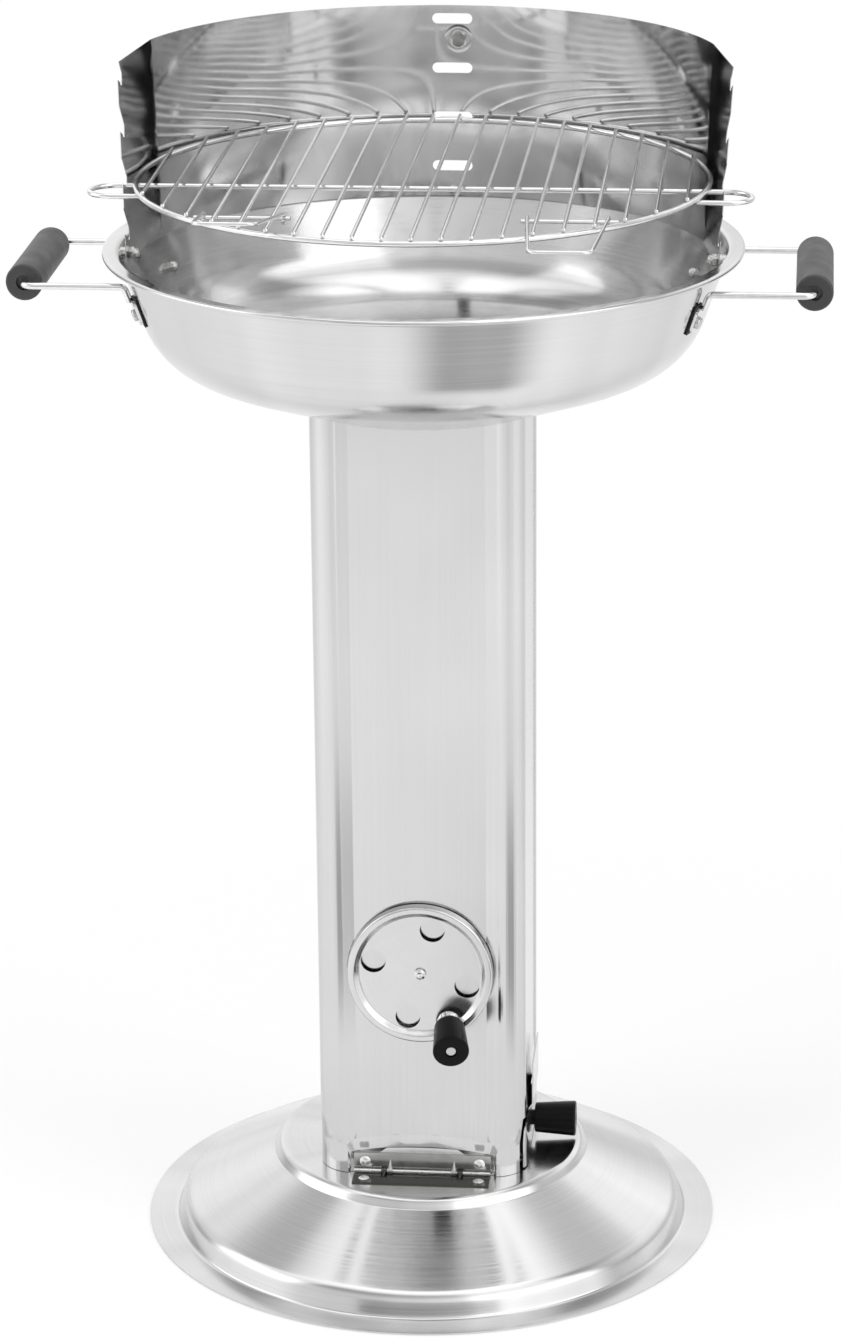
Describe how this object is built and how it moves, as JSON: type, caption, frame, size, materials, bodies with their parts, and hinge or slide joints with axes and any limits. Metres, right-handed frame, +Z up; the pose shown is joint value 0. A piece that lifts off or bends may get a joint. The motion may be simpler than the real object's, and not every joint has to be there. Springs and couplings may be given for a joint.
{
  "type": "pillar barbecue grill",
  "caption": "Free-standing charcoal grill: pressed round foot, hinged square pillar with ash drawer and air vent, round fire bowl, wind shield and lift-out wire grate.",
  "frame": {"origin": "centre of the foot, on the floor", "axes": "+Z up, -Y towards the front with the vent and the hinge, +X to the side of the ash drawer's knob"},
  "size_m": [0.599, 0.4804, 0.9115],
  "materials": {
    "brushed_stainless": "fine brushed stainless steel",
    "polished_stainless": "mirror-polished stainless steel",
    "zinc_fasteners": "bright zinc-plated steel",
    "chromed_wire": "bright chromed steel wire",
    "black_grip": "satin black heat-resistant plastic",
    "dark_pad": "dark insulating pad"
  },
  "bodies": {
    "foot": {"foot_plate": "brushed_stainless", "hinge_lower_leaf": "brushed_stainless", "hinge_pin": "zinc_fasteners", "lower_leaf_rivets": "zinc_fasteners"},
    "column": {"hinge_upper_leaf": "brushed_stainless", "upper_leaf_rivets": "zinc_fasteners", "pillar_shell": "brushed_stainless", "vent_rivet": "zinc_fasteners", "vent_spacer": "brushed_stainless", "drawer_rail_front": "brushed_stainless", "drawer_rail_rear": "brushed_stainless", "fire_bowl": "brushed_stainless", "bowl_brackets": "brushed_stainless", "bowl_bolts": "zinc_fasteners", "bowl_nuts": "zinc_fasteners", "wind_shield_left": "polished_stainless", "wind_shield_right": "polished_stainless", "shield_seam_screw": "zinc_fasteners", "shield_seam_nut": "zinc_fasteners", "shield_bolts": "zinc_fasteners", "shield_spacers": "zinc_fasteners", "shield_nuts": "zinc_fasteners", "handle_wire_left": "chromed_wire", "handle_wire_right": "chromed_wire", "handle_pads": "dark_pad", "handle_bolts": "zinc_fasteners", "handle_nuts": "zinc_fasteners"},
    "ash_drawer": {"ash_drawer_front": "brushed_stainless", "ash_tray": "brushed_stainless", "ash_knob": "black_grip", "ash_knob_screw": "zinc_fasteners"},
    "vent": {"vent_disc": "brushed_stainless", "vent_knob": "black_grip", "vent_knob_screw": "zinc_fasteners"},
    "cooking_grate": {"grate_ring": "chromed_wire", "grate_bars": "chromed_wire", "grate_cross_wire": "chromed_wire", "grate_rear_tab": "chromed_wire", "grate_crossbars": "chromed_wire"},
    "bail_left": {"bail_left": "chromed_wire"},
    "bail_right": {"bail_right": "chromed_wire"},
    "grip_left": {"handle_grip_left": "black_grip"},
    "grip_right": {"handle_grip_right": "black_grip"},
    "charcoal_grate": {"charcoal_grate_ring": "chromed_wire", "charcoal_grate_bars": "chromed_wire"}
  },
  "joints": [
    {"name": "column_tilt", "type": "hinge", "parent": "foot", "child": "column", "pos_m": [0, -0.0762, 0.0642], "axis": [1, 0, 0], "range_deg": [0, 30]},
    {"name": "ash_drawer_slide", "type": "slide", "parent": "column", "child": "ash_drawer", "axis": [1, 0, 0], "range_m": [0, 0.1]},
    {"name": "vent_turn", "type": "hinge", "parent": "column", "child": "vent", "pos_m": [0, -0.079, 0.23], "axis": [0, -1, 0], "continuous": true},
    {"name": "grate_lift_out", "type": "slide", "parent": "column", "child": "cooking_grate", "axis": [0, -0.454, 0.891], "range_m": [0, 0.12]},
    {"name": "bail_left_fold", "type": "hinge", "parent": "cooking_grate", "child": "bail_left", "pos_m": [0, -0.138, 0.82465], "axis": [-1, 0, 0], "range_deg": [0, 95]},
    {"name": "bail_right_fold", "type": "hinge", "parent": "cooking_grate", "child": "bail_right", "pos_m": [0, -0.138, 0.82465], "axis": [-1, 0, 0], "range_deg": [0, 104]},
    {"name": "grip_left_spin", "type": "hinge", "parent": "column", "child": "grip_left", "pos_m": [-0.286, 0, 0.757], "axis": [0, 1, 0], "continuous": true},
    {"name": "grip_right_spin", "type": "hinge", "parent": "column", "child": "grip_right", "pos_m": [0.286, 0, 0.757], "axis": [0, 1, 0], "continuous": true},
    {"name": "charcoal_grate_lift", "type": "slide", "parent": "column", "child": "charcoal_grate", "axis": [0, 0, 1], "range_m": [0, 0.1]}
  ]
}
